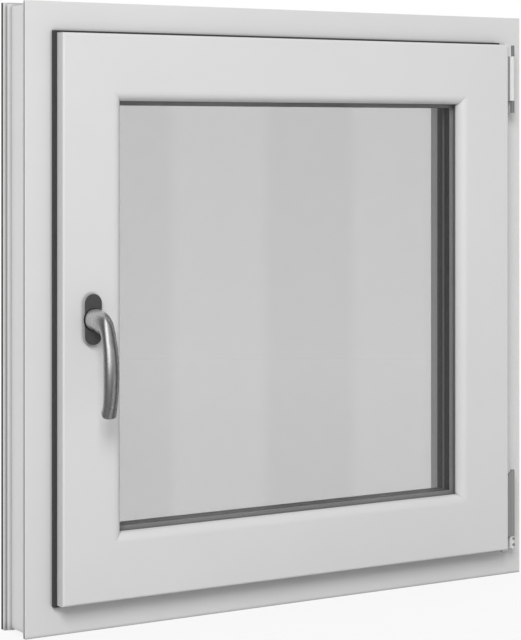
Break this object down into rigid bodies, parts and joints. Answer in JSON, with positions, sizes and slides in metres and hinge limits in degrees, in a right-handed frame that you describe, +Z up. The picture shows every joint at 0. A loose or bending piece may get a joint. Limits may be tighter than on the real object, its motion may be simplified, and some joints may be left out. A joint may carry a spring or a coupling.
{
  "type": "tilt and turn window",
  "caption": "White single-sash tilt and turn window with triple glass, lever handle on the left and hinges on the right.",
  "frame": {"origin": "middle of the narrow flat foot along the underside of the sill, where the window rests on its packers", "axes": "+X right as seen from the room, +Y towards the outside, +Z up"},
  "size_m": [0.8, 0.1609, 0.81],
  "materials": {
    "white_plastic": "smooth white",
    "seal_rubber": "matt",
    "pane": "clear",
    "spacer_bar": "dark satin",
    "edge_sealant": "matt",
    "packer_plastic": "matt",
    "satin_metal": "satin",
    "rose_grey": "matt dark grey",
    "hinge_grey": "dark grey",
    "hinge_light": "light grey",
    "steel": "zinc plated"
  },
  "bodies": {
    "window": {"frame_head": "white_plastic", "frame_sill": "white_plastic", "frame_jamb_lock": "white_plastic", "frame_jamb_hinge": "white_plastic", "sash_top_rail": "white_plastic", "sash_bottom_rail": "white_plastic", "sash_stile_lock": "white_plastic", "sash_stile_hinge": "white_plastic", "bead_top": "white_plastic", "bead_bottom": "white_plastic", "bead_lock_side": "white_plastic", "bead_hinge_side": "white_plastic", "drain_cover_lock_side": "white_plastic", "drain_cover_hinge_side": "white_plastic", "sash_seal": "seal_rubber", "frame_seal": "seal_rubber", "bead_gasket": "seal_rubber", "outer_gasket": "seal_rubber", "pane_room_side": "pane", "pane_middle": "pane", "pane_outside": "pane", "spacer_room_side": "spacer_bar", "spacer_outside": "spacer_bar", "edge_seal_room_side": "edge_sealant", "edge_seal_outside": "edge_sealant", "glass_packer_lock_side": "packer_plastic", "glass_packer_hinge_side": "packer_plastic", "handle_rose": "satin_metal", "rose_plate": "rose_grey", "stay_bearing": "hinge_grey", "corner_band": "hinge_grey", "stay_leaf": "hinge_light", "stay_arm": "hinge_light", "corner_bearing": "hinge_light", "stay_pin": "steel", "corner_pin": "steel"},
    "handle": {"handle_lever": "satin_metal", "handle_spindle": "steel"}
  },
  "joints": [
    {"name": "handle_turn", "type": "hinge", "parent": "window", "child": "handle", "pos_m": [-0.3192, -0.0959, 0.404], "axis": [0, -1, 0], "range_deg": [0, 180]}
  ]
}
